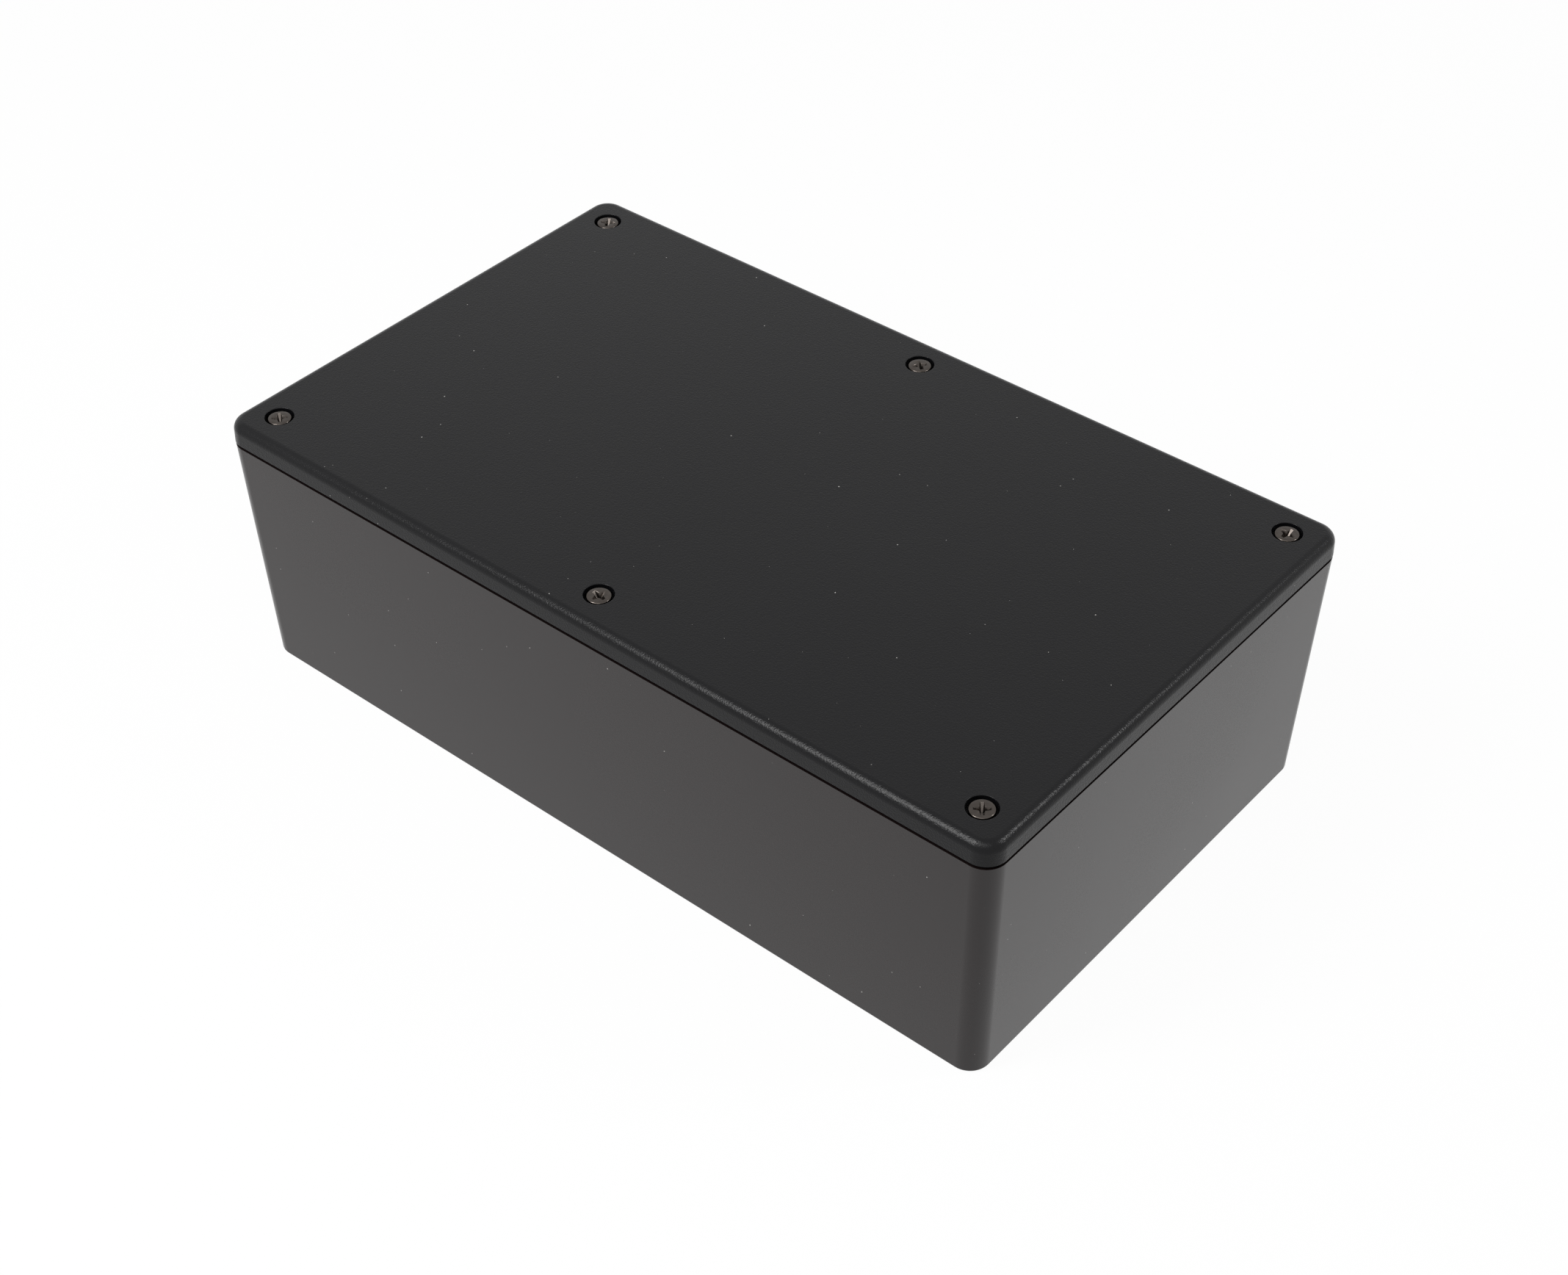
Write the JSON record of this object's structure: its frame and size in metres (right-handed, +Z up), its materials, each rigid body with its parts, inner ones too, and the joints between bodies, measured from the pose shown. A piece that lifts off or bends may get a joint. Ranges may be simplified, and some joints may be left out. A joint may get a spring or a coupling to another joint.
{
  "type": "plastic project box",
  "caption": "Black plastic enclosure for electronics: a drafted base with card guides and board bosses, closed by a lapped, textured lid that small recessed screws hold down.",
  "frame": {"origin": "middle of the base's underside, on the surface the box stands on", "axes": "+X along the long sides, +Y towards the rear long side, +Z up through the lid"},
  "size_m": [0.19, 0.1118, 0.0595],
  "materials": {
    "moulded_abs": "satin moulded black ABS",
    "textured_abs": "finely textured black ABS",
    "dark_steel": "dark nickel-plated steel"
  },
  "bodies": {
    "base": {"base": "moulded_abs"},
    "lid": {"lid": "textured_abs"},
    "screw_front_left": {"screw_front_left": "dark_steel"},
    "screw_front_middle": {"screw_front_middle": "dark_steel"},
    "screw_front_right": {"screw_front_right": "dark_steel"},
    "screw_rear_left": {"screw_rear_left": "dark_steel"},
    "screw_rear_middle": {"screw_rear_middle": "dark_steel"},
    "screw_rear_right": {"screw_rear_right": "dark_steel"}
  },
  "joints": [
    {"name": "lid_lift", "type": "slide", "parent": "base", "child": "lid", "axis": [0, 0, 1], "range_m": [0, 0.08]},
    {"name": "screw_front_left_undo", "type": "slide", "parent": "lid", "child": "screw_front_left", "axis": [0, 0, 1], "range_m": [0, 0.015]},
    {"name": "screw_front_middle_undo", "type": "slide", "parent": "lid", "child": "screw_front_middle", "axis": [0, 0, 1], "range_m": [0, 0.015]},
    {"name": "screw_front_right_undo", "type": "slide", "parent": "lid", "child": "screw_front_right", "axis": [0, 0, 1], "range_m": [0, 0.015]},
    {"name": "screw_rear_left_undo", "type": "slide", "parent": "lid", "child": "screw_rear_left", "axis": [0, 0, 1], "range_m": [0, 0.015]},
    {"name": "screw_rear_middle_undo", "type": "slide", "parent": "lid", "child": "screw_rear_middle", "axis": [0, 0, 1], "range_m": [0, 0.015]},
    {"name": "screw_rear_right_undo", "type": "slide", "parent": "lid", "child": "screw_rear_right", "axis": [0, 0, 1], "range_m": [0, 0.015]}
  ]
}
